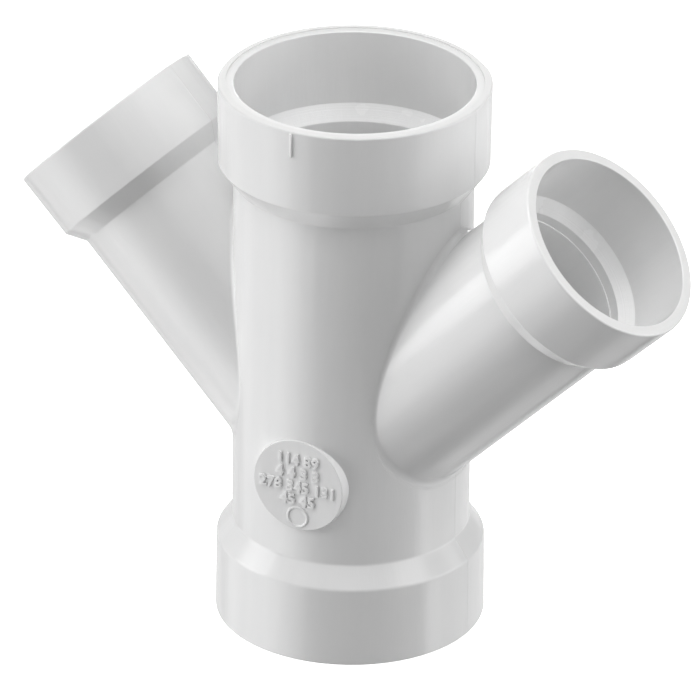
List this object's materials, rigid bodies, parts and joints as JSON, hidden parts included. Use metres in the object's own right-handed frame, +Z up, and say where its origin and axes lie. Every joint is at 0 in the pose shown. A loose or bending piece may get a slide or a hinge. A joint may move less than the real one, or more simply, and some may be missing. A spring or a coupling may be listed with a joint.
{
  "type": "double wye",
  "caption": "Reducing double wye drain fitting: a straight run socketed at both ends, with smaller 45 degree socketed branches on opposite sides, moulded in one piece.",
  "frame": {"origin": "centre of the bottom rim of the run, on the run's axis", "axes": "+Z up the run's axis, away from the bottom socket; +X toward the right branch and -X toward the left branch, all three axes in the plane Y = 0; -Y toward the front, where the round label pad is"},
  "size_m": [0.3446, 0.131, 0.278],
  "materials": {
    "pvc_white": "white rigid PVC as moulded, satin to semi-gloss, one colour through"
  },
  "bodies": {
    "root": {"double_wye": "pvc_white"}
  },
  "joints": []
}
